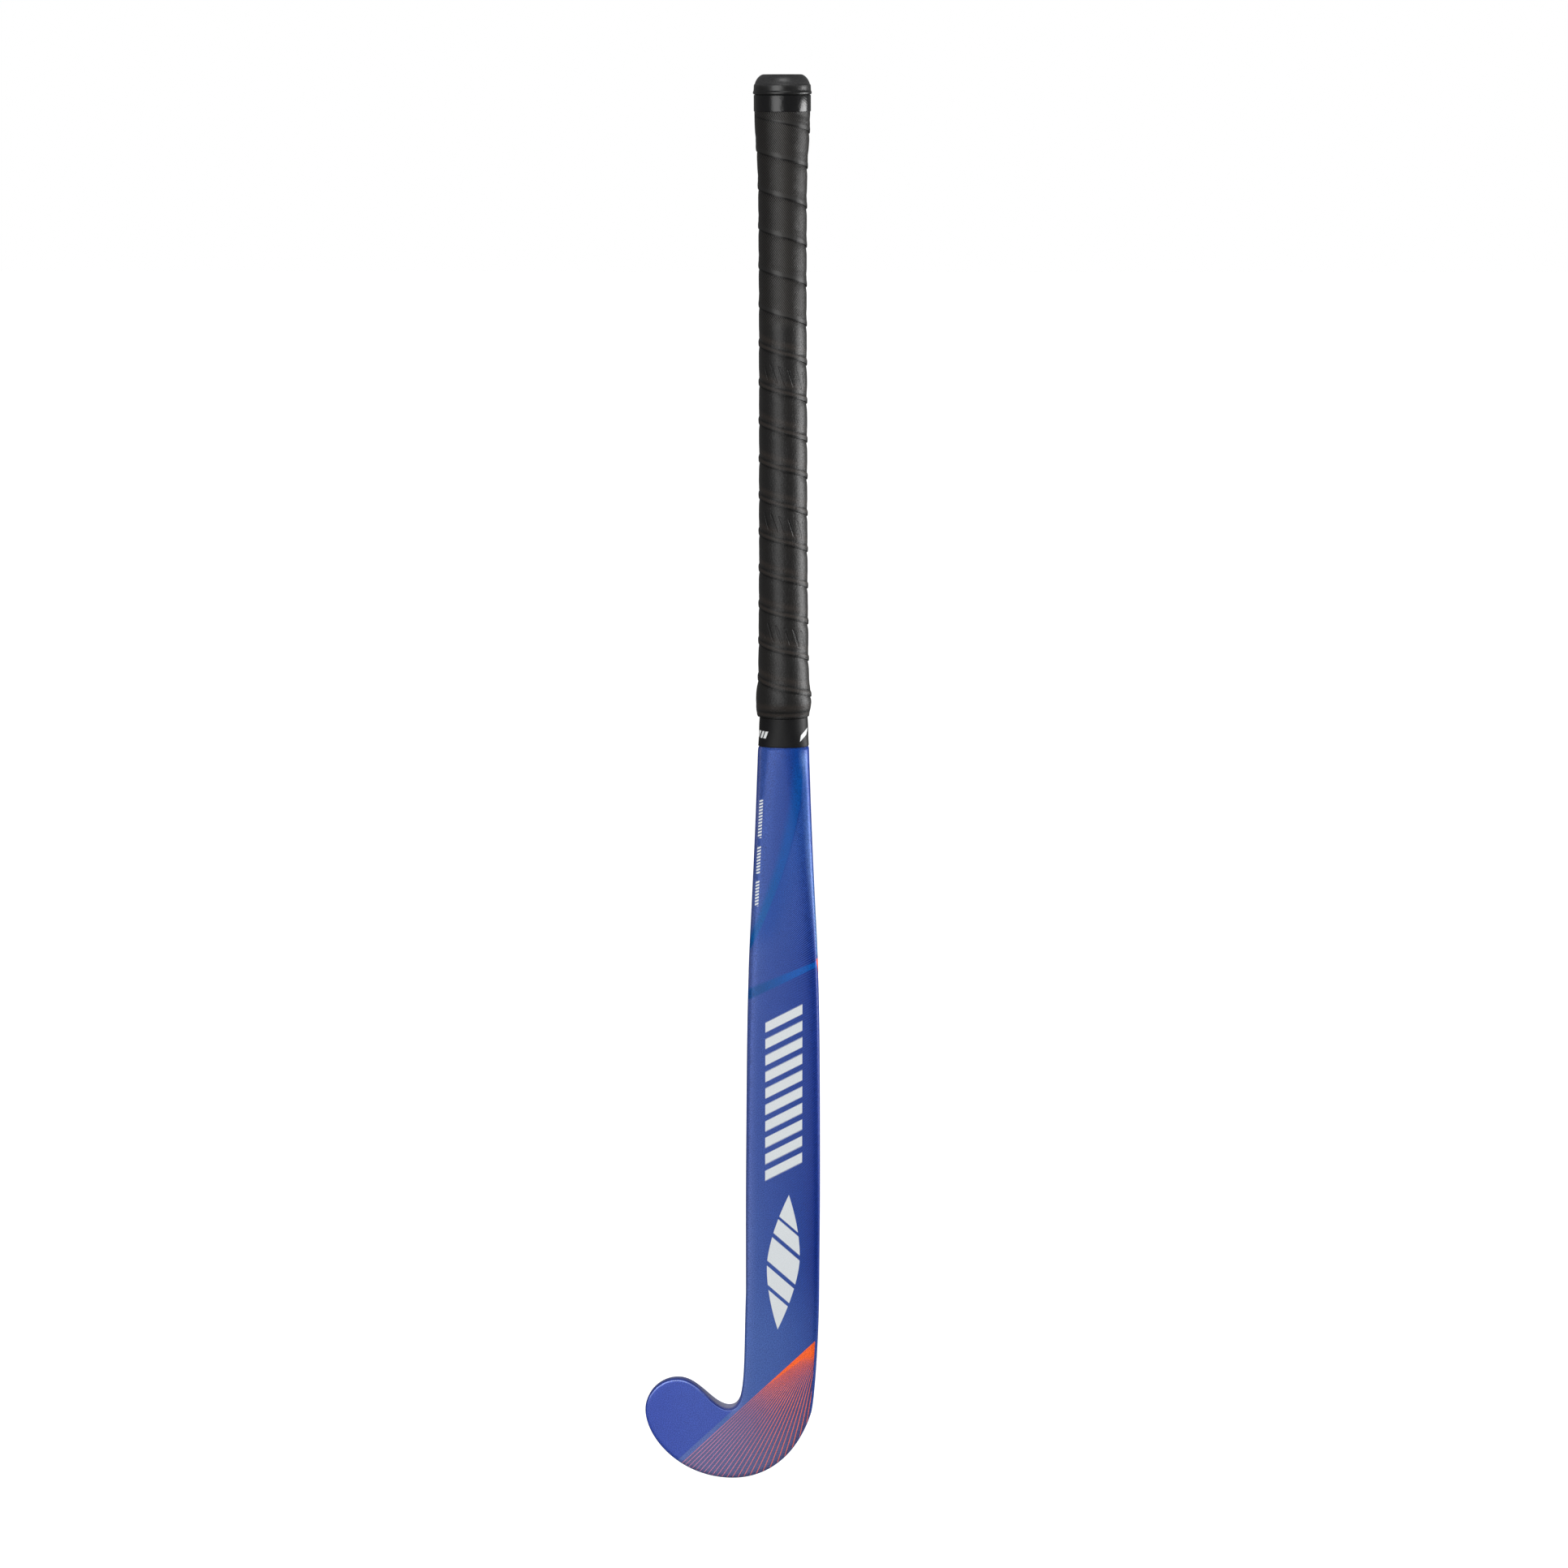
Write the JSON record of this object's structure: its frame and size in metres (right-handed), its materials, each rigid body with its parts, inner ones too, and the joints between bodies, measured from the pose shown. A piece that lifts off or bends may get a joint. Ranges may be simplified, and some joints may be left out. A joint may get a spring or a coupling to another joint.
{
  "type": "field hockey stick",
  "caption": "Composite stick for playing on a pitch: bowed D-section shaft, short upturned hook with a flat playing face, wrapped cushion grip and a rubber end cap.",
  "frame": {"origin": "on the flat playing face of the head, on the shaft's centre line, 50 mm above the lowest point of the hook", "axes": "+Z along the stick from the head to the butt (the chord of its bow), toe of the hook towards -X, playing face towards -Y"},
  "size_m": [0.116, 0.0521, 0.9287],
  "materials": {
    "printed_laminate": "satin clear coat over a fine metallic royal blue print, with teal bands, thin pale lines, pale grey bars and an orange fan of lines at the heel",
    "bare_laminate": "bare glass fibre laminate",
    "carbon": "unidirectional carbon fibre laminate",
    "aramid": "woven aramid set in resin",
    "foam": "rigid closed-cell polyurethane foam",
    "plug_plastic": "moulded, matte",
    "cushion": "thin soft felted tape",
    "grip": "matte black cushioned tape, ribbed on its upper turns and smooth on its lower turns",
    "cap_rubber": "satin moulded rubber",
    "gloss_tape": "smooth vinyl tape with soft highlights",
    "matte_tape": "matte black sleeve with small white marks"
  },
  "bodies": {
    "root": {"composite_shell": "printed_laminate", "centre_rib": "bare_laminate", "carbon_strip_face": "carbon", "carbon_strip_back": "carbon", "aramid_head_sock": "aramid", "head_foam_core": "foam", "butt_plug": "plug_plastic", "cushion_underwrap": "cushion", "grip_tape": "grip", "end_cap": "cap_rubber", "finishing_tape_upper": "gloss_tape", "finishing_tape_lower": "matte_tape"}
  },
  "joints": []
}
